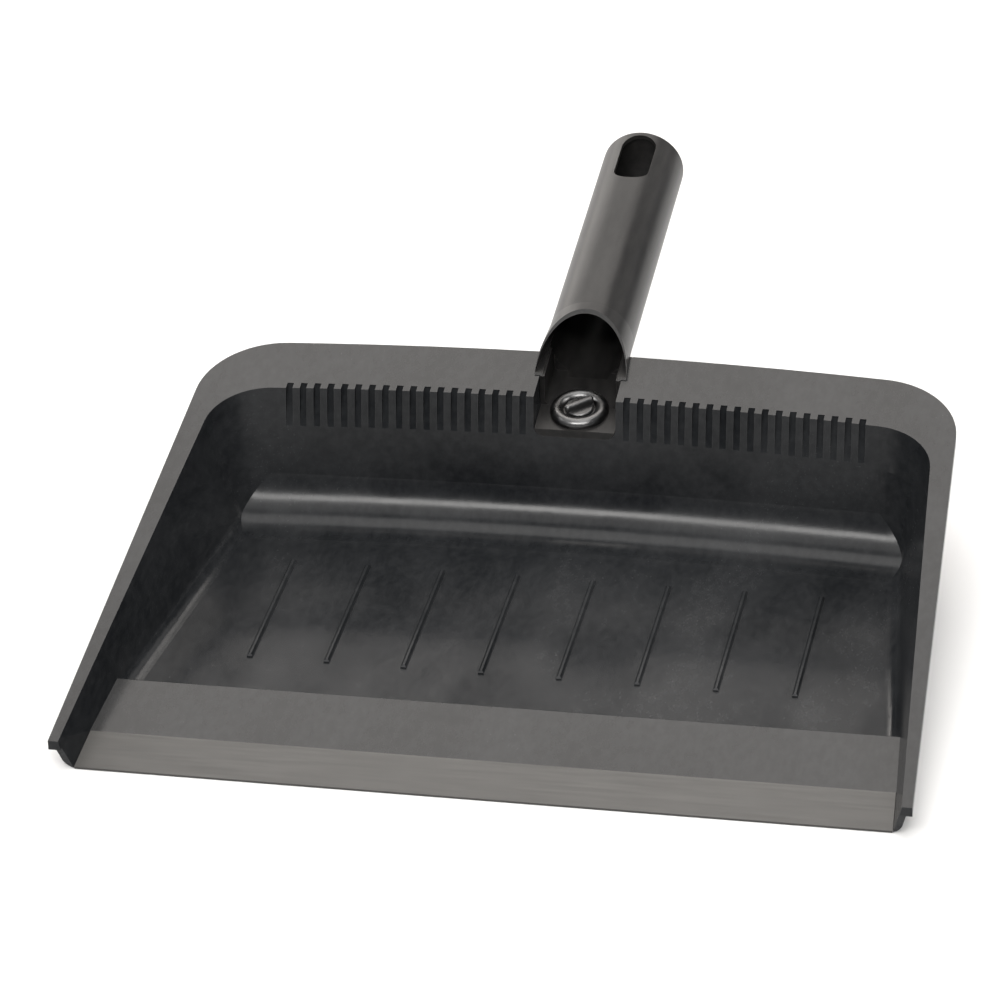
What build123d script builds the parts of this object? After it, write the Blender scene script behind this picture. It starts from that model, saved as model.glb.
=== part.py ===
from build123d import *
import math
import os

# Heavy-duty dustpan: one moulded tray with a flexible front lip, and a hollow round
# handle bolted into a saddle under the tray's back rim.
#
# Millimetres, +Z up, +X to the right of the open front as seen by someone facing it,
# +Y from the front lip back along the handle. The pieces are drawn with y = 0 at the
# front edge of the lip and z = 0 on the floor the pan stands on. They are moved at the
# end, so that the origin is the middle of the footprint.

# ---- tray: lip, ramp and floor ----
FLOOR_TOP = 3.0              # thickness of the floor, which lies on the ground
WALL = 2.5                   # thickness of the side walls
LIP_NOSE = 0.8               # height of the thin front edge
LIP_HEEL = 6.0               # width of the lip's flat underside
STRIP_DEPTH = 19.5           # front lip strip, front to back
STRIP_TOP = 4.6              # height where the strip meets the ramp
CREST_Y, CREST_Z = 51.0, 8.8     # top of the ramp
RAMP_THICK = 2.6             # thickness of the ramp, measured upright
TONGUE = 7.0                 # how far the strip's tongue runs under the ramp
RAMP_BACK_Y = 53.5           # foot of the step behind the crest
CREST_ROUND = 1.0
BAY_TOP = 12.0               # the floor and its fillets are cleared to here for the ramp
STRIP_GAP = 0.1              # clearance at each end of the lip strip

# ---- tray: walls ----
FRONT_HALF = 150.0           # inside half width at the lip, at ground level
TOE_IN = 0.110               # the sides close in by this much per mm of depth
SIDE_LEAN = 0.228            # the sides lean out by this much per mm of height
BACK_LEAN = 10.0             # inside of the back wall, degrees from upright
BACK_LEAN_OUTSIDE = 13.0     # the back wall thickens towards the rim
CORNER_LOW, CORNER_HIGH = 10.0, 27.0     # inside corner radius at the floor and the rim
CORNER_TOP_Z = 60.0          # height at which the corner has its upper radius
FLOOR_FILLET = 6.0           # side walls to floor
COVE = 22.0                  # back wall to floor
COVE_SINK = 0.05             # the cove's top edge is set this far into the wall
COVE_SWEEP = 10.0            # degrees it is swept each way along the bow, past the side walls
WALL_TOP = 72.0              # walls are drawn to here and trimmed at the rim

# ---- tray: rim ----
RIM_FRONT_Y, RIM_FRONT_Z = -5.0, 14.3    # front tips of the side rims
RIM_FRONT_HALF = 157.6
RIM_BACK_HALF = 148.7
RIM_BACK_Y, RIM_BACK_Z = 232.4, 61.8     # outer edge of the back rim at the middle
RIM_BOW = 6.8                # how far the middle of the back rim bulges past its corners
RIM_CORNER = 33.0
RIM_THICK = 2.4
RIM_EDGE_DEPTH = 3.6         # the outer edge turns down this far
RIM_EDGE_THICK = 2.2
RIM_INNER_Y = 204.6          # inner edge of the back rim at the middle

# ---- tray: comb and floor ribs ----
COMB_GAPS = 18               # grooves on each side of the handle
COMB_PITCH = 5.45
COMB_START = 20.5            # middle of the groove nearest the handle
COMB_GAP = 2.6
COMB_DEPTH = 3.0             # depth of a groove at the top
COMB_LENGTH = 15.5
FLOOR_RIBS = 8
FLOOR_RIB_PITCH = 29.6
FLOOR_RIB_WIDTH, FLOOR_RIB_HEIGHT = 2.2, 1.2
FLOOR_RIB_START, FLOOR_RIB_END = 82.0, 156.0

# ---- handle ----
GRIP_RADIUS = 16.8
GRIP_WALL = 1.8
GRIP_SLOPE = 6.9             # degrees that the handle rises towards its end
AXIS_Y, AXIS_Z = 227.0, 61.8     # a point on the handle's axis
GRIP_END = 145.4             # from that point to the end of the handle
GRIP_FRONT = 60.0            # from that point forward past the mouth, before it is trimmed
END_WALL = 3.0
END_ROUND = 2.5
ROOT_HALF = 16.0             # half width of the flat-bottomed root
ROOT_LENGTH = 12.0           # the root ends this far behind that point
ROOT_ROUND = 4.0
MOUTH_HEAD = (236.0, 80.4)   # y and z of the top of the slanted open mouth
MOUTH_SLOPE = 49.0           # degrees from the floor
FLARE = 0.9                  # the mouth is this much wider than the grip at that point
FLARE_REACH = 16.0           # the flare starts this far behind it
MOUTH_EDGE = 0.7             # the grip's wall thins to this at that point
SLOT_WIDTH, SLOT_LENGTH = 14.2, 32.5     # hang slot
SLOT_INSET = 4.0             # from the end of the handle
SLOT_CORNER = 6.6

# ---- saddle and fastener, drawn square to the rim ----
SCREW_Y = 212.0              # where the screw's axis crosses the rim's top face
SADDLE_DEPTH = 14.9          # saddle floor below the rim's top face
SADDLE_THICK = 2.5
SADDLE_GAP = 0.25            # clearance each side of the handle's root
OPENING_REACH = 40.0         # the opening in the back wall starts this far in front of the screw
ROOT_FLOOR = 2.8             # thickness of the root's floor, under the washer
HOLE_RADIUS = 3.3
CUP_RADIUS, CUP_HEIGHT = 11.5, 3.2
CUP_SEAT_RADIUS, CUP_SEAT = 6.2, 1.2
SHANK_RADIUS = 3.0
HEAD_RADIUS, HEAD_HEIGHT = 5.6, 1.3
BAR_LENGTH, BAR_WIDTH, BAR_HEIGHT = 12.6, 2.8, 2.6       # finger bar across the head
BAR_ROUND = 1.0
BAR_TURN = 38.0              # how far the bar is turned from straight across
BACKING_RADIUS, BACKING_THICK = 7.0, 1.5
NUT_FLATS, NUT_HEIGHT = 10.0, 5.0
CROWN_RADIUS, CROWN_HEIGHT = 4.5, 2.0
NUT_ROUND = 0.6
INSERT_RADIUS, INSERT_HEIGHT = 3.9, 1.8
THREAD_GAP = 0.05            # round the screw's plain shank, which stands for its thread
SCREW_TAIL = 1.5             # the screw stands out of the nut by this much

# ---- worked out from the above ----
RIM_RISE = (RIM_BACK_Z - RIM_FRONT_Z) / (RIM_BACK_Y - RIM_FRONT_Y)
RIM_ANGLE = math.degrees(math.atan(RIM_RISE))
BOW_RADIUS = (RIM_BACK_HALF**2 + RIM_BOW**2) / (2 * RIM_BOW)
BOW_CENTRE_Y = RIM_BACK_Y - BOW_RADIUS
RAMP_RISE = (CREST_Z - STRIP_TOP) / (CREST_Y - STRIP_DEPTH)
NUT_SEAT = -SADDLE_DEPTH - SADDLE_THICK - BACKING_THICK      # the nut's top face, from the rim
FAR = 400.0                  # reach of the blocks used for trimming


def rim_z(y):
    """Height of the rim's top face."""
    return RIM_FRONT_Z + RIM_RISE * (y - RIM_FRONT_Y)


def ramp_z(y):
    """Height of the ramp's top face behind the lip strip."""
    return STRIP_TOP + RAMP_RISE * (y - STRIP_DEPTH)


def side_x(y, z, outward=0.0):
    """Half width of the tray inside its side walls."""
    return FRONT_HALF - TOE_IN * y + SIDE_LEAN * z + outward


def back_y(z, lean, outward=0.0):
    """Back wall at the middle of the tray."""
    foot = RIM_INNER_Y - rim_z(RIM_INNER_Y) * math.tan(math.radians(BACK_LEAN))
    return foot + outward + z * math.tan(math.radians(lean))


def bow_y(x, middle_y):
    """Follow the bow of the back from its middle out to x."""
    return BOW_CENTRE_Y + math.sqrt((middle_y - BOW_CENTRE_Y) ** 2 - x**2)


# The rim's top face: y runs up the slope and z stands square to it.
RIM_PLANE = Plane(
    origin=(0, SCREW_Y, rim_z(SCREW_Y)),
    x_dir=(1, 0, 0),
    z_dir=(0, -math.sin(math.radians(RIM_ANGLE)), math.cos(math.radians(RIM_ANGLE))),
)
# The handle's axis is this plane's z, and its y points down.
GRIP_PLANE = Plane(
    origin=(0, AXIS_Y, AXIS_Z),
    x_dir=(1, 0, 0),
    z_dir=(0, math.cos(math.radians(GRIP_SLOPE)), math.sin(math.radians(GRIP_SLOPE))),
)


def slab(plane, low, high):
    """A wide block between two heights over a plane."""
    thickness = high - low
    return plane * Pos(0, 0, low + thickness / 2) * Box(2 * FAR, 2 * FAR, thickness)


def behind(y):
    """A wide block of everything further back than y."""
    return Pos(0, y, 0) * Box(FAR, FAR, FAR, align=(Align.CENTER, Align.MIN, Align.CENTER))


def side_profile(points):
    """A face in the YZ plane through the middle of the tray, from (y, z) points."""
    return make_face(Polyline([(0, y, z) for y, z in points], close=True))


def tray_outline(z, lean, outward, corner):
    """Plan of the tray's wall at one height: straight sides and a bowed back."""
    front_y = -2 * WALL_TOP
    side_out = outward * math.sqrt(1 + TOE_IN**2 + SIDE_LEAN**2)
    middle_y = back_y(z, lean, outward)
    corner_y = bow_y(side_x(middle_y, z, side_out), middle_y)
    corner_x = side_x(corner_y, z, side_out)
    front_x = side_x(front_y, z, side_out)
    left = [(-corner_x, corner_y), (-front_x, front_y)]
    right = [(front_x, front_y), (corner_x, corner_y)]
    sides = Polyline(*left, *right)
    back = ThreePointArc(right[1], (0, middle_y), left[0])
    plan = make_face(sides + back)
    corners = plan.vertices().sort_by(Axis.Y)[-2:]
    return Pos(0, 0, z) * fillet(corners, corner)


def tray_block(low, high, lean, outward):
    """The tray's plan lofted between two heights."""
    def corner_at(z):
        share = z / CORNER_TOP_Z
        return CORNER_LOW + (CORNER_HIGH - CORNER_LOW) * share + outward

    outlines = [tray_outline(z, lean, outward, corner_at(z)) for z in (low, high)]
    return loft(outlines, ruled=True)


def floor_edges(block):
    """The run of side, corner and back edges round the bottom of a tray block."""
    bottom = block.faces().sort_by(Axis.Z)[0]
    return [edge for edge in bottom.edges() if edge.center().Y > -WALL_TOP]


def tray_hollow():
    """The space inside the tray above its floor."""
    block = tray_block(FLOOR_TOP, WALL_TOP, BACK_LEAN, 0)
    return fillet(floor_edges(block), FLOOR_FILLET)


def tray_solid(lean, outward):
    """The tray drawn solid, with its bottom edges rounded."""
    block = tray_block(0, WALL_TOP, lean, outward)
    return fillet(floor_edges(block), FLOOR_FILLET)


def tray_shell(hollow):
    """Floor and walls, trimmed to the rim and to the raked front ends of the sides."""
    block = tray_solid(BACK_LEAN_OUTSIDE, WALL) - slab(RIM_PLANE, 0, FAR)
    block -= extrude(side_profile([(0, 0), (RIM_FRONT_Y, RIM_FRONT_Z), (-FAR, RIM_FRONT_Z),
                                   (-FAR, -1), (0, -1)]), FAR, both=True)
    return block - hollow


def ramp():
    """Ramp behind the lip strip, with the web that joins its crest to the floor."""
    under = STRIP_DEPTH + TONGUE
    section = side_profile([
        (STRIP_DEPTH, STRIP_TOP),
        (CREST_Y, CREST_Z),
        (RAMP_BACK_Y, FLOOR_TOP),
        (RAMP_BACK_Y, 0),
        (RAMP_BACK_Y - RAMP_THICK, 0),
        (CREST_Y - RAMP_THICK / 2, ramp_z(CREST_Y) - RAMP_THICK),
        (under, ramp_z(under) - RAMP_THICK),
        (under, ramp_z(under) - RAMP_THICK / 2),
        (STRIP_DEPTH, STRIP_TOP - RAMP_THICK / 2),
    ])
    crest = section.vertices().sort_by(Axis.Z)[-1]
    return extrude(fillet(crest, CREST_ROUND), FAR, both=True)


def cove():
    """Large hollow fillet between floor and back wall, swept along the bow of the back."""
    lean = math.radians(BACK_LEAN)
    reach = COVE * math.tan((math.pi / 2 - lean) / 2)
    foot_y = back_y(FLOOR_TOP, BACK_LEAN) + COVE_SINK
    start = (foot_y - reach, FLOOR_TOP)
    end = (foot_y + reach * math.sin(lean), FLOOR_TOP + reach * math.cos(lean))
    half_turn = (math.pi / 2 - lean) / 2
    middle = (start[0] + COVE * math.sin(half_turn), FLOOR_TOP + COVE * (1 - math.cos(half_turn)))
    curve = ThreePointArc((0, *start), (0, *middle), (0, *end))
    back = Polyline((0, *end), (0, end[0] + WALL / 2, end[1]),
                    (0, foot_y + WALL / 2, FLOOR_TOP / 2), (0, start[0], FLOOR_TOP / 2), (0, *start))
    half = revolve(make_face(curve + back), Axis((0, BOW_CENTRE_Y, 0), (0, 0, 1)), COVE_SWEEP)
    return half + mirror(half, Plane.YZ)


def rim_plan():
    """Outline of the rim from above."""
    corner_y = RIM_BACK_Y - RIM_BOW
    front = (RIM_FRONT_HALF, RIM_FRONT_Y)
    back = (RIM_BACK_HALF, corner_y)
    sides = Polyline((-back[0], back[1]), (-front[0], front[1]), front, back)
    bow = ThreePointArc(back, (0, RIM_BACK_Y), (-back[0], back[1]))
    plan = make_face(sides + bow)
    return fillet(plan.vertices().sort_by(Axis.Y)[-2:], RIM_CORNER)


def rim(hollow):
    """Flat rim with its outer edge turned down."""
    plan = rim_plan()
    plate = extrude(plan, FAR) & slab(RIM_PLANE, -RIM_THICK, 0)
    edge = extrude(plan - offset(plan, -RIM_EDGE_THICK), FAR) & slab(RIM_PLANE, -RIM_EDGE_DEPTH, 0)
    edge -= Pos(0, RIM_FRONT_Y, 0) * Box(2 * side_x(0, 0), 2 * RIM_EDGE_THICK + 1, FAR)
    return plate + edge - hollow


def floor_ribs():
    """Low ribs that run front to back on the floor."""
    length = FLOOR_RIB_END - FLOOR_RIB_START
    height = FLOOR_TOP + FLOOR_RIB_HEIGHT
    rib = Box(FLOOR_RIB_WIDTH, length, height, align=(Align.CENTER, Align.MIN, Align.MIN))
    rib = chamfer(rib.edges().group_by(Axis.Z)[-1], FLOOR_RIB_HEIGHT * 0.6)
    first = -(FLOOR_RIBS - 1) / 2 * FLOOR_RIB_PITCH
    return [Pos(first + n * FLOOR_RIB_PITCH, FLOOR_RIB_START, 0) * rib for n in range(FLOOR_RIBS)]


def comb_grooves():
    """Upright grooves in the back wall that leave a comb under the rim."""
    reach = COMB_LENGTH * math.tan(math.radians(BACK_LEAN))
    profile = side_profile([
        (COMB_DEPTH, 0),
        (-reach, -COMB_LENGTH),
        (-2 * reach, -COMB_LENGTH),
        (-2 * reach, COMB_LENGTH),
        (COMB_DEPTH, COMB_LENGTH),
    ])
    groove = extrude(profile, COMB_GAP / 2, both=True)
    grooves = []
    for n in range(COMB_GAPS):
        x = COMB_START + n * COMB_PITCH
        edge_y = bow_y(x, RIM_INNER_Y)
        grooves += [Pos(side * x, edge_y, rim_z(edge_y)) * groove for side in (-1, 1)]
    return grooves


def trough(half_width, depth, corner):
    """A flat-bottomed channel along the rim's middle, square to the rim."""
    channel = Box(2 * half_width, FAR, FAR, align=(Align.CENTER, Align.CENTER, Align.MIN))
    channel = fillet(channel.edges().filter_by(Axis.Y).sort_by(Axis.Z)[:2], corner)
    return RIM_PLANE * Pos(0, 0, -depth) * channel


def saddle(hollow):
    """Channel under the back rim that the handle's root lies in, before it is opened."""
    half_width = ROOT_HALF + SADDLE_GAP + SADDLE_THICK
    body = trough(half_width, SADDLE_DEPTH + SADDLE_THICK, ROOT_ROUND + SADDLE_THICK)
    body &= slab(RIM_PLANE, -FAR, -RIM_THICK / 2)
    return (body & extrude(rim_plan(), FAR) & behind(SCREW_Y - OPENING_REACH)) - hollow


def screw_hole(low, high):
    """Clearance hole for the screw between two heights over the rim."""
    return RIM_PLANE * Pos(0, 0, (low + high) / 2) * Cylinder(HOLE_RADIUS, high - low)


def pan_tray():
    hollow = tray_hollow()
    tray = tray_shell(hollow)
    inside = tray_block(-1, WALL_TOP, BACK_LEAN, 0)
    tray -= (inside & slab(Plane.XY, -FAR, BAY_TOP)) - behind(RAMP_BACK_Y)
    within = tray_solid(BACK_LEAN, WALL / 2)
    tray += ramp() & within
    tray += cove() & within
    tray += rim(hollow)
    tray += saddle(hollow)
    tray -= trough(ROOT_HALF + SADDLE_GAP, SADDLE_DEPTH, ROOT_ROUND) & behind(SCREW_Y - OPENING_REACH)
    tray -= screw_hole(-2 * SADDLE_DEPTH, 0)
    tray -= comb_grooves()
    return tray + floor_ribs()


def front_lip():
    """Flexible strip along the front, with a tongue under the ramp."""
    under = STRIP_DEPTH + TONGUE
    section = side_profile([
        (0, 0),
        (0, LIP_NOSE),
        (STRIP_DEPTH, STRIP_TOP),
        (STRIP_DEPTH, STRIP_TOP - RAMP_THICK / 2),
        (under, ramp_z(under) - RAMP_THICK / 2),
        (under, ramp_z(under) - RAMP_THICK),
        (STRIP_DEPTH, STRIP_TOP - RAMP_THICK),
        (LIP_HEEL, 0),
    ])
    return extrude(section, FAR, both=True) & tray_block(-1, WALL_TOP, BACK_LEAN, -STRIP_GAP)


def grip_tube(radius, back):
    """Solid round handle, from in front of the mouth to its end."""
    tube = Cylinder(radius, back + GRIP_FRONT, align=(Align.CENTER, Align.CENTER, Align.MIN))
    return GRIP_PLANE * Pos(0, 0, -GRIP_FRONT) * tube


def grip_root(radius, back):
    """Square-cornered solid below the handle's axis, as wide as the handle."""
    root = Box(2 * radius, 2 * SADDLE_DEPTH, back + GRIP_FRONT,
               align=(Align.CENTER, Align.MIN, Align.MIN))
    return GRIP_PLANE * Pos(0, 0, -GRIP_FRONT) * root


def grip_flare(inset):
    """Cone that widens towards the mouth, above the rim."""
    radius = GRIP_RADIUS - inset
    thinning = GRIP_WALL - MOUTH_EDGE if inset else 0
    cone = Cone(radius + 2 * (FLARE + thinning), radius, 2 * FLARE_REACH)
    return GRIP_PLANE * cone & slab(RIM_PLANE, SADDLE_GAP + inset / 3, FAR)


def grip_body(inset):
    """The handle drawn solid, shrunk by an inset: grip, root in the saddle and flare."""
    tube = grip_tube(GRIP_RADIUS - inset, GRIP_END - (END_WALL if inset else 0))
    if not inset:
        tube = fillet(tube.edges().sort_by(Axis.Y)[-1], END_ROUND)
    depth = SADDLE_DEPTH - (ROOT_FLOOR if inset else 0)
    channel = trough(ROOT_HALF - inset, depth, ROOT_ROUND - inset)
    step_y = RIM_BACK_Y + SADDLE_GAP + inset
    beside = slab(RIM_PLANE, -FAR, SADDLE_GAP) - behind(step_y) - channel
    root = grip_root(ROOT_HALF - inset, ROOT_LENGTH - inset) & channel
    return (tube - beside) + root + grip_flare(inset)


def mouth_opening():
    """What is cut away in front of the slanted mouth and of the cheeks below it."""
    slope = math.tan(math.radians(MOUTH_SLOPE))
    head_y, head_z = MOUTH_HEAD
    cheek_y = (head_z - RIM_FRONT_Z + RIM_RISE * RIM_FRONT_Y - slope * head_y) / (RIM_RISE - slope)
    return extrude(side_profile([
        (cheek_y, 0),
        (cheek_y, rim_z(cheek_y)),
        (head_y + GRIP_RADIUS, head_z + slope * GRIP_RADIUS),
        (0, head_z + slope * GRIP_RADIUS),
        (0, 0),
    ]), FAR, both=True)


def handle_grip():
    """Hollow handle, open at the mouth, with a flat tongue under the washer."""
    outer = grip_body(0)
    tongue = outer & slab(RIM_PLANE, -FAR, ROOT_FLOOR - SADDLE_DEPTH)
    tongue -= tray_block(-1, WALL_TOP, BACK_LEAN, 0)
    grip = outer - mouth_opening() + tongue
    return grip - grip_body(GRIP_WALL) - screw_hole(-2 * SADDLE_DEPTH, 0) - hang_slot()


def hang_slot():
    """Slot across the handle near its end: square at the back, round at the front."""
    back = GRIP_END - SLOT_INSET
    front = back - SLOT_LENGTH
    half = SLOT_WIDTH / 2
    square = Polyline((-half, front + half), (-half, back), (half, back), (half, front + half))
    nose = ThreePointArc((half, front + half), (0, front), (-half, front + half))
    shape = make_face(square + nose)
    shape = fillet(shape.vertices().sort_by(Axis.Y)[-2:], SLOT_CORNER)
    across = Plane(origin=GRIP_PLANE.origin, x_dir=(1, 0, 0), z_dir=-GRIP_PLANE.y_dir)
    return extrude(across * shape, 2 * GRIP_RADIUS, both=True)


def turned(points, height):
    """A turned piece on the screw's axis; points are (radius, height) above 'height'."""
    section = make_face(Polyline([(r, 0, z) for r, z in points], close=True))
    return RIM_PLANE * Pos(0, 0, height) * revolve(section, Axis.Z)


def cup_washer():
    """Dished washer: a raised ring round the flat seat of the screw head."""
    crown = (CUP_RADIUS + CUP_SEAT_RADIUS) / 2
    outer = (CUP_RADIUS, 0, CUP_SEAT)
    inner = (CUP_SEAT_RADIUS, 0, CUP_SEAT)
    ring = ThreePointArc(outer, (crown, 0, CUP_HEIGHT), inner)
    seat = Polyline(inner, (HOLE_RADIUS, 0, CUP_SEAT), (HOLE_RADIUS, 0, 0), (CUP_RADIUS, 0, 0), outer)
    washer = revolve(make_face(ring + seat), Axis.Z)
    return RIM_PLANE * Pos(0, 0, ROOT_FLOOR - SADDLE_DEPTH) * washer


def handle_screw():
    """Screw with a finger bar across its flat round head."""
    seat = ROOT_FLOOR - SADDLE_DEPTH + CUP_SEAT
    length = seat - NUT_SEAT + NUT_HEIGHT + CROWN_HEIGHT + SCREW_TAIL
    shank = Pos(0, 0, -length / 2) * Cylinder(SHANK_RADIUS, length)
    shank = chamfer(shank.edges().group_by(Axis.Z)[0], SHANK_RADIUS / 4)
    head = Cylinder(HEAD_RADIUS, HEAD_HEIGHT, align=(Align.CENTER, Align.CENTER, Align.MIN))
    head = fillet(head.edges().group_by(Axis.Z)[-1], HEAD_HEIGHT / 2)
    bar = extrude(SlotOverall(BAR_LENGTH, BAR_WIDTH), BAR_HEIGHT)
    bar = fillet(bar.edges().group_by(Axis.Z)[-1], BAR_ROUND)
    screw = shank + head + Pos(0, 0, HEAD_HEIGHT) * Rot(0, 0, BAR_TURN) * bar
    return RIM_PLANE * Pos(0, 0, seat) * screw


def backing_washer():
    """Flat washer between the saddle and the nut."""
    return turned([
        (HOLE_RADIUS, 0),
        (BACKING_RADIUS, 0),
        (BACKING_RADIUS, BACKING_THICK),
        (HOLE_RADIUS, BACKING_THICK),
    ], NUT_SEAT)


def lock_nut():
    """Hexagon nut with a crown that holds a nylon insert."""
    corner_radius = NUT_FLATS / 2 / math.cos(math.pi / 6)
    blank = Cylinder(corner_radius, NUT_HEIGHT, align=(Align.CENTER, Align.CENTER, Align.MIN))
    blank = fillet(blank.edges().group_by(Axis.Z)[0], NUT_ROUND)
    crown = Cylinder(CROWN_RADIUS, CROWN_HEIGHT, align=(Align.CENTER, Align.CENTER, Align.MAX))
    nut = extrude(RegularPolygon(NUT_FLATS / 2, 6, major_radius=False), NUT_HEIGHT) & blank
    nut += crown
    nut -= Cylinder(SHANK_RADIUS + THREAD_GAP, 4 * NUT_HEIGHT)
    nut -= Pos(0, 0, -CROWN_HEIGHT) * Cylinder(INSERT_RADIUS, 2 * INSERT_HEIGHT)
    return RIM_PLANE * Pos(0, 0, NUT_SEAT - NUT_HEIGHT) * nut


def nut_insert():
    """Nylon ring in the nut's crown."""
    bore = SHANK_RADIUS + THREAD_GAP
    return turned([
        (bore, 0),
        (INSERT_RADIUS, 0),
        (INSERT_RADIUS, INSERT_HEIGHT),
        (bore, INSERT_HEIGHT),
    ], NUT_SEAT - NUT_HEIGHT - CROWN_HEIGHT)


PIECES = {
    "pan_tray": pan_tray,
    "front_lip": front_lip,
    "handle_grip": handle_grip,
    "handle_screw": handle_screw,
    "cup_washer": cup_washer,
    "backing_washer": backing_washer,
    "lock_nut": lock_nut,
    "nut_insert": nut_insert,
}

os.makedirs("parts", exist_ok=True)
solids = {name: make() for name, make in PIECES.items()}
boxes = [solid.bounding_box() for solid in solids.values()]
middle_y = (min(box.min.Y for box in boxes) + max(box.max.Y for box in boxes)) / 2
for name, solid in solids.items():
    export_step(Pos(0, -middle_y, 0) * solid, f"parts/{name}.step")
print(f"the lip's front edge is at y = {-middle_y:.3f}")
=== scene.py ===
"""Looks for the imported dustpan: moulded plastic, vinyl and plated steel under soft studio light.

Metres, in the CAD frame: +Y from the front lip back along the handle, +Z up.
"""
import math

import bpy
from mathutils import Matrix, Vector


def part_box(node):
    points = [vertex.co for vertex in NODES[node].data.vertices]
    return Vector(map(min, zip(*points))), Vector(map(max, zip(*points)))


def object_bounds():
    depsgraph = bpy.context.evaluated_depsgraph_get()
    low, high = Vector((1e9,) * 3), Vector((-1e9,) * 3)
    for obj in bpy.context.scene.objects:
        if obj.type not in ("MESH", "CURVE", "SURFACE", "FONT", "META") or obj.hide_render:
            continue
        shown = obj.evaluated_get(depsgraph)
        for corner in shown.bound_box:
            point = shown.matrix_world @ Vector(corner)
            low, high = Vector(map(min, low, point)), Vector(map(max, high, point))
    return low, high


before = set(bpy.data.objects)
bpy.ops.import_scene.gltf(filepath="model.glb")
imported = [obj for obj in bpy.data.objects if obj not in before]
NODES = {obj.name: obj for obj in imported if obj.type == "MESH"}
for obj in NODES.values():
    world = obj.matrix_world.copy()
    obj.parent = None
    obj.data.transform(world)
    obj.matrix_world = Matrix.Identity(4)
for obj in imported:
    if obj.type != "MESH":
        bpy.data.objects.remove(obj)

CAD_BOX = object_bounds()
LOW, HIGH = CAD_BOX
LIP = Vector((0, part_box("front_lip")[0].y, 0))   # middle of the lip's front edge, on the floor

# ---- camera: a long lens, looking down at the open front from a little to the right ----
CAMERA_TURN = 11.90              # degrees round the object from straight in front
CAMERA_HEIGHT = 28.87            # degrees above the floor
CAMERA_ROLL = -1.95
CAMERA_LENS = 180.0
CAMERA_FROM_LIP = (0.0082, 0.1080, 1.798)     # in the camera's own right, up and back
CAMERA_REACH = 50                # metres, past the far edge of the floor

# ---- light ----
WARM = (1.0, 0.95, 0.90)
NEUTRAL = (1.0, 0.985, 0.965)
# Name, turn and height round the object in degrees, distance, size, strength and colour.
SOFTBOXES = [
    ("back_top", 188, 52, 2.2, (1.9, 1.15), 3.1, WARM),
    ("back_low", 190, 22, 2.2, (1.5, 0.50), 2.4, WARM),
    ("overhead", 180, 88, 2.2, (1.4, 1.0), 2.8, NEUTRAL),
    ("front_key", 3, 43, 2.2, (1.9, 0.38), 15.0, NEUTRAL),
    ("front_high", 3, 61, 2.2, (1.9, 0.84), 1.8, NEUTRAL),
    ("left_back", 222, 12, 2.6, (1.6, 0.9), 2.4, WARM),
    ("right_back", 147, 22, 2.2, (0.9, 0.9), 0.6, WARM),
    ("left_side", 264, 36, 2.2, (1.2, 0.8), 5.8, NEUTRAL),
    ("right_side", 96, 36, 2.2, (1.2, 0.8), 5.8, NEUTRAL),
]
BOX_POWER = 4                    # watts for each unit of strength and square metre of a box
WORLD = (0.20, 0.205, 0.215)

# ---- floor ----
FLOOR = (0.66, 0.66, 0.66)
FLOOR_ROUGHNESS = 0.8
FLOOR_HALF = 6.0                 # half the floor's width
FLOOR_GAP = 0.0001               # how far the floor lies under the pan

# ---- colours, linear ----
BLACK = (0.0096, 0.0111, 0.0130)
HANDLE_BLACK = (0.0100, 0.0100, 0.0102)
DUST = (0.015, 0.0135, 0.012)    # what the palest scuffs add to the plastic's colour
# the lip's colour, about twice as pale as the tray's: partly the vinyl's own tone, partly painted
# light standing in for the light its upward-facing strip catches
VINYL_AND_PAINTED_LIGHT = (0.026, 0.025, 0.023)
ZINC = (0.14, 0.14, 0.14)
NYLON = (0.74, 0.72, 0.66)

# ---- moulded plastic ----
PLASTIC_IOR = 1.30
PLASTIC_SPECULAR = 0.50
# Noise layers: features per metre, detail, roughness, and the range that is stretched to 0..1.
MOTTLE = (22, 5.0, 0.58, 0.34, 0.68)
FLECKS = (320, 3.0, 0.60, 0.36, 0.66)
SCUFFS = (1100, 3.0, 0.70, 0.58, 0.78)
PATCHES = (22, 2.0, 0.50, 0.45, 0.65)         # where the scuffs are
# What each layer adds on the way from the darkest colour to the palest.
MOTTLE_SHARE = 0.38
FLECK_SHARE = 0.20
WEAR_SHARE = 0.38
EDGE_SHARE = 0.45
DARKEST = 0.5                    # of the plastic's colour
PALEST = 1.7                     # of the plastic's colour, before its dust
EDGE_WIDTH = 0.0006
EDGE_TURN = (0.97, 0.80)         # cosines between which an edge goes from unworn to worn
GLOSSIER = 0.03                  # how far the mottle lowers and raises the roughness
DULLER = 0.04
WEAR_DULLS = 0.12
WAVES = (70, 1.0)                # features per metre, and detail
WAVE_HEIGHT = 0.00012
FLECK_STRENGTH = 0.5             # of the grain's height
TRAY_ROUGHNESS = 0.20
TRAY_GRAIN = 0.000008            # height of the tray's grain
TRAY_FLOW = (1, 0.5, 1)          # the marks are twice as long from front to back
HANDLE_ROUGHNESS = 0.34
HANDLE_GRAIN = 0.000010
HANDLE_FLOW = (1, 0.25, 1)

# ---- vinyl ----
VINYL_IOR = 1.50
VINYL_SPECULAR = 0.54
VINYL_SHADES = (0.8, 1.3)        # of the vinyl's colour
VINYL_GLOSS = (0.36, 0.48)       # roughness, from the glossiest to the dullest
DRAWN_LINES = (700, 3.0, (0.05, 1, 1))        # features per metre, detail and stretch
LINE_HEIGHT = 0.00002
LINE_STRENGTH = 0.6
VINYL_MOTTLE = (60, 3.0)

FINE_GRAIN = (2600, 2.0)         # features per metre and detail, on the plastics and the vinyl
VINYL_GRAIN = 0.00001            # height of the fine grain on the vinyl
MID_NOISE = (0.3, 0.7)           # the range that most of a noise lies in


# ---- node helpers ----

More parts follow.
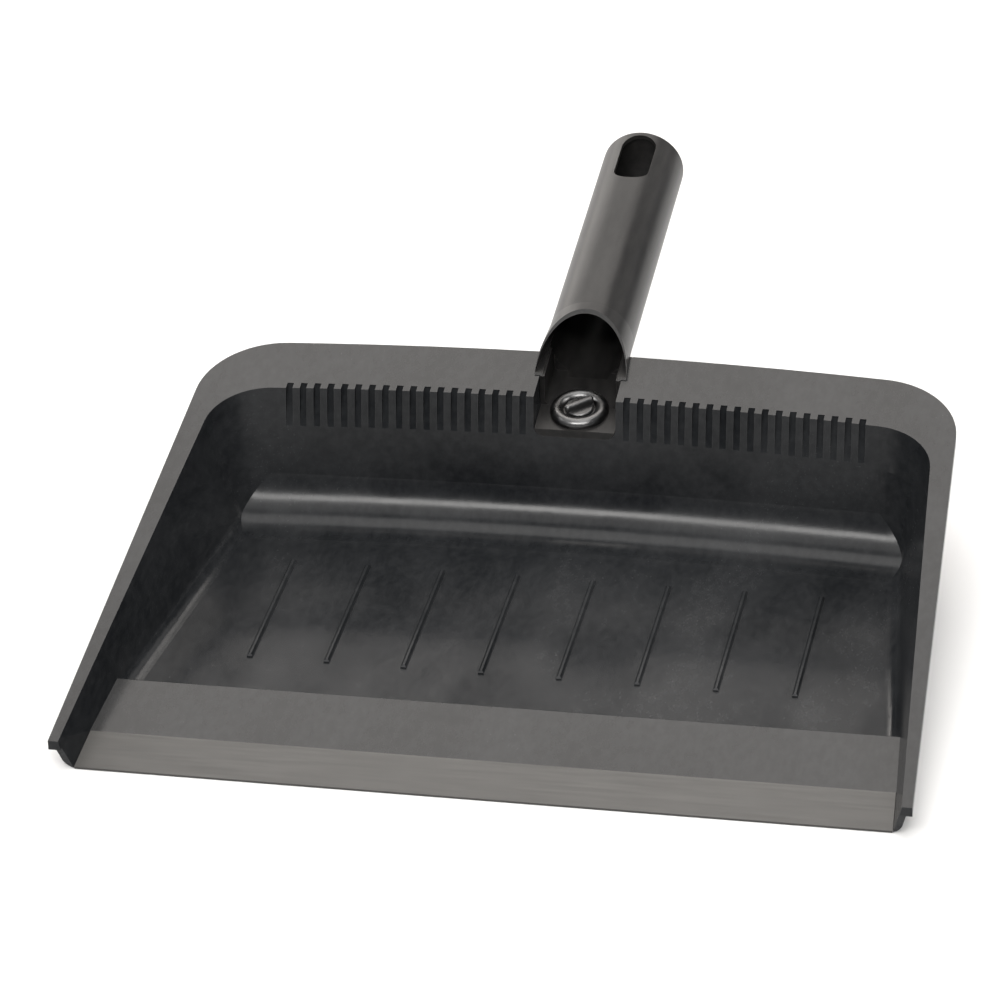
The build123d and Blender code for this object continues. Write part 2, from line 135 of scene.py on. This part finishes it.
def new_material(name):
    """A material with a plain Principled shader, its node tree and the shader's inputs."""
    material = bpy.data.materials.new(name)
    material.use_nodes = True
    tree = material.node_tree
    return material, tree, tree.nodes["Principled BSDF"].inputs


def add_node(tree, kind, **settings):
    """Add a node and set the properties that are named."""
    node = tree.nodes.new(kind)
    for key, value in settings.items():
        setattr(node, key, value)
    return node


def object_space(tree, scale):
    """Position in the CAD frame, stretched along the axes."""
    coordinates = add_node(tree, "ShaderNodeTexCoord")
    mapping = add_node(tree, "ShaderNodeMapping")
    mapping.inputs["Scale"].default_value = scale
    tree.links.new(coordinates.outputs["Object"], mapping.inputs["Vector"])
    return mapping.outputs["Vector"]


def noise(tree, scale, detail, stretch=(1, 1, 1), rough=0.5):
    """Noise with features of about 1/scale metres."""
    node = add_node(tree, "ShaderNodeTexNoise")
    node.inputs["Scale"].default_value = scale
    node.inputs["Detail"].default_value = detail
    node.inputs["Roughness"].default_value = rough
    tree.links.new(object_space(tree, stretch), node.inputs["Vector"])
    return node.outputs["Fac"]


def remap(tree, value, low, high, to_low, to_high):
    """Map a range of a value to another, held at its ends."""
    node = add_node(tree, "ShaderNodeMapRange")
    node.inputs["From Min"].default_value = low
    node.inputs["From Max"].default_value = high
    node.inputs["To Min"].default_value = to_low
    node.inputs["To Max"].default_value = to_high
    tree.links.new(value, node.inputs["Value"])
    return node.outputs["Result"]


def layer(tree, settings, stretch=(1, 1, 1)):
    """A noise layer that runs from 0 to 1."""
    scale, detail, rough, low, high = settings
    return remap(tree, noise(tree, scale, detail, stretch, rough), low, high, 0.0, 1.0)


def combine(tree, operation, first, second):
    """Do sums on two values, either of which may be a number."""
    node = add_node(tree, "ShaderNodeMath", operation=operation)
    for socket, value in zip(node.inputs, (first, second)):
        if isinstance(value, (int, float)):
            socket.default_value = value
        else:
            tree.links.new(value, socket)
    return node.outputs["Value"]


def add_share(tree, total, value, share):
    """The total with a share of another value added."""
    return combine(tree, "ADD", total, combine(tree, "MULTIPLY", value, share))


def times(colour, factor):
    """A colour made darker or paler."""
    return tuple(c * factor for c in colour)


def tint(tree, amount, dark, light):
    """A colour between dark and light."""
    ramp = add_node(tree, "ShaderNodeValToRGB")
    ramp.color_ramp.elements[0].color = (*dark, 1)
    ramp.color_ramp.elements[1].color = (*light, 1)
    tree.links.new(amount, ramp.inputs["Fac"])
    return ramp.outputs["Color"]


def bump(tree, height, distance, strength=1.0, normal=None):
    """Bump whose height runs from 0 to distance, in metres."""
    node = add_node(tree, "ShaderNodeBump")
    node.inputs["Strength"].default_value = strength
    node.inputs["Distance"].default_value = distance
    tree.links.new(height, node.inputs["Height"])
    if normal is not None:
        tree.links.new(normal, node.inputs["Normal"])
    return node.outputs["Normal"]


def edge_wear(tree, width):
    """0 on flat faces and 1 on sharp edges, from how far a rounded normal turns away."""
    rounded = add_node(tree, "ShaderNodeBevel", samples=4)
    rounded.inputs["Radius"].default_value = width
    geometry = add_node(tree, "ShaderNodeNewGeometry")
    dot = add_node(tree, "ShaderNodeVectorMath", operation="DOT_PRODUCT")
    tree.links.new(rounded.outputs["Normal"], dot.inputs[0])
    tree.links.new(geometry.outputs["Normal"], dot.inputs[1])
    return remap(tree, dot.outputs["Value"], *EDGE_TURN, 0.0, 1.0)


# ---- materials ----

def moulded_plastic(name, colour, roughness, grain, flow):
    """Satin moulded plastic: fine grain, faint flow marks, scuffs and paler edges."""
    material, tree, shader = new_material(name)
    shader["IOR"].default_value = PLASTIC_IOR
    shader["Specular IOR Level"].default_value = PLASTIC_SPECULAR

    mottle = layer(tree, MOTTLE, flow)
    flecks = layer(tree, FLECKS, flow)
    wear = combine(tree, "MULTIPLY", layer(tree, SCUFFS, flow), layer(tree, PATCHES))
    shade = combine(tree, "MULTIPLY", mottle, MOTTLE_SHARE)
    shade = add_share(tree, shade, flecks, FLECK_SHARE)
    shade = add_share(tree, shade, wear, WEAR_SHARE)
    shade = add_share(tree, shade, edge_wear(tree, EDGE_WIDTH), EDGE_SHARE)
    pale = tuple(c * PALEST + dust for c, dust in zip(colour, DUST))
    tree.links.new(tint(tree, shade, times(colour, DARKEST), pale), shader["Base Color"])

    gloss = remap(tree, mottle, 0.0, 1.0, roughness - GLOSSIER, roughness + DULLER)
    tree.links.new(add_share(tree, gloss, wear, WEAR_DULLS), shader["Roughness"])

    waves = bump(tree, noise(tree, *WAVES, flow), WAVE_HEIGHT)
    flecked = bump(tree, flecks, grain, FLECK_STRENGTH, waves)
    fine = bump(tree, noise(tree, *FINE_GRAIN), grain, 1.0, flecked)
    tree.links.new(fine, shader["Normal"])
    return material


def vinyl(name, colour):
    """Flexible lip: softer than the tray, with fine lines drawn along its length; its paler colour
    is partly painted light for the upward-facing strip.
    """
    material, tree, shader = new_material(name)
    shader["IOR"].default_value = VINYL_IOR
    shader["Specular IOR Level"].default_value = VINYL_SPECULAR
    lines = noise(tree, *DRAWN_LINES)
    dark, pale = (times(colour, factor) for factor in VINYL_SHADES)
    shade = tint(tree, noise(tree, *VINYL_MOTTLE), dark, pale)
    tree.links.new(shade, shader["Base Color"])
    tree.links.new(remap(tree, lines, *MID_NOISE, *VINYL_GLOSS), shader["Roughness"])
    fine = bump(tree, noise(tree, *FINE_GRAIN), VINYL_GRAIN)
    drawn = bump(tree, lines, LINE_HEIGHT, LINE_STRENGTH, fine)
    tree.links.new(drawn, shader["Normal"])
    return material


def clouded(name, colour, cloud, darkest, gloss, grain, height, metallic=0.0):
    """A plain material whose colour and gloss vary together, with a fine grain."""
    material, tree, shader = new_material(name)
    shader["Metallic"].default_value = metallic
    amount = noise(tree, *cloud)
    shade = tint(tree, amount, times(colour, darkest), colour)
    tree.links.new(shade, shader["Base Color"])
    tree.links.new(remap(tree, amount, *MID_NOISE, *gloss), shader["Roughness"])
    tree.links.new(bump(tree, noise(tree, *grain), height), shader["Normal"])
    return material


def zinc_plate(name, colour):
    """Dull plated steel with a fine grain and a faint bloom."""
    return clouded(name, colour, cloud=(400, 4.0), darkest=0.72, gloss=(0.26, 0.38),
                   grain=(5200, 3.0), height=0.000012, metallic=1.0)


def nylon(name, colour):
    """Natural nylon, slightly cloudy."""
    return clouded(name, colour, cloud=(900, 3.0), darkest=0.85, gloss=(0.32, 0.42),
                   grain=(4000, 2.0), height=0.00001)


def paint_nodes():
    """Give every CAD piece its material."""
    tray = moulded_plastic("tray_plastic", BLACK, TRAY_ROUGHNESS, TRAY_GRAIN, TRAY_FLOW)
    handle = moulded_plastic("handle_plastic", HANDLE_BLACK, HANDLE_ROUGHNESS, HANDLE_GRAIN,
                             HANDLE_FLOW)
    steel = zinc_plate("plated_steel", ZINC)
    looks = {
        "pan_tray": tray,
        "front_lip": vinyl("lip_vinyl", VINYL_AND_PAINTED_LIGHT),
        "handle_grip": handle,
        "handle_screw": steel,
        "cup_washer": steel,
        "backing_washer": steel,
        "lock_nut": steel,
        "nut_insert": nylon("nylon", NYLON),
    }
    for name, material in looks.items():
        mesh = NODES[name].data
        mesh.materials.clear()
        mesh.materials.append(material)


# ---- stage, light and camera ----

def add_floor():
    """A wide pale floor just under the pan."""
    signs = ((-1, -1), (1, -1), (1, 1), (-1, 1))
    height = LOW.z - FLOOR_GAP
    corners = [(x * FLOOR_HALF, y * FLOOR_HALF, height) for x, y in signs]
    mesh = bpy.data.meshes.new("floor")
    mesh.from_pydata(corners, [], [(0, 1, 2, 3)])
    floor = bpy.data.objects.new("floor", mesh)
    bpy.context.scene.collection.objects.link(floor)
    material, _, shader = new_material("pale_floor")
    shader["Base Color"].default_value = (*FLOOR, 1)
    shader["Roughness"].default_value = FLOOR_ROUGHNESS
    mesh.materials.append(material)


def direction(turn, height):
    """Unit vector from the object: turn 0 is straight in front, 90 is its right."""
    a = math.radians(turn)
    e = math.radians(height)
    return Vector((math.sin(a) * math.cos(e), -math.cos(a) * math.cos(e), math.sin(e)))


def add_softboxes():
    """Large area lights that face the middle of the pan."""
    middle = (LOW + HIGH) / 2
    for name, turn, height, distance, size, strength, colour in SOFTBOXES:
        light = bpy.data.lights.new(name, "AREA")
        light.shape = "RECTANGLE"
        light.size, light.size_y = size
        light.energy = BOX_POWER * strength * size[0] * size[1]
        light.color = colour
        box = bpy.data.objects.new(name, light)
        towards = direction(turn, height)
        box.location = middle + towards * distance
        box.rotation_euler = towards.to_track_quat("Z", "Y").to_euler()
        box.visible_camera = False
        bpy.context.scene.collection.objects.link(box)


def add_world():
    """Even grey surroundings."""
    world = bpy.data.worlds.new("studio")
    world.use_nodes = True
    world.node_tree.nodes["Background"].inputs["Color"].default_value = (*WORLD, 1)
    bpy.context.scene.world = world


def add_camera():
    """The camera, placed from the middle of the lip's front edge."""
    data = bpy.data.cameras.new("camera")
    data.lens = CAMERA_LENS
    data.clip_end = CAMERA_REACH
    camera = bpy.data.objects.new("camera", data)
    back = direction(CAMERA_TURN, CAMERA_HEIGHT)
    right = direction(CAMERA_TURN + 90, 0)
    up = back.cross(right)
    roll = Matrix.Rotation(math.radians(CAMERA_ROLL), 3, back)
    axes = [roll @ right, roll @ up, back]
    camera.location = LIP + sum((a * d for a, d in zip(axes, CAMERA_FROM_LIP)), Vector())
    camera.rotation_euler = Matrix(axes).transposed().to_euler()
    bpy.context.scene.collection.objects.link(camera)
    bpy.context.scene.camera = camera


bpy.context.scene.view_settings.view_transform = "Standard"
paint_nodes()
add_floor()
add_softboxes()
add_world()
add_camera()
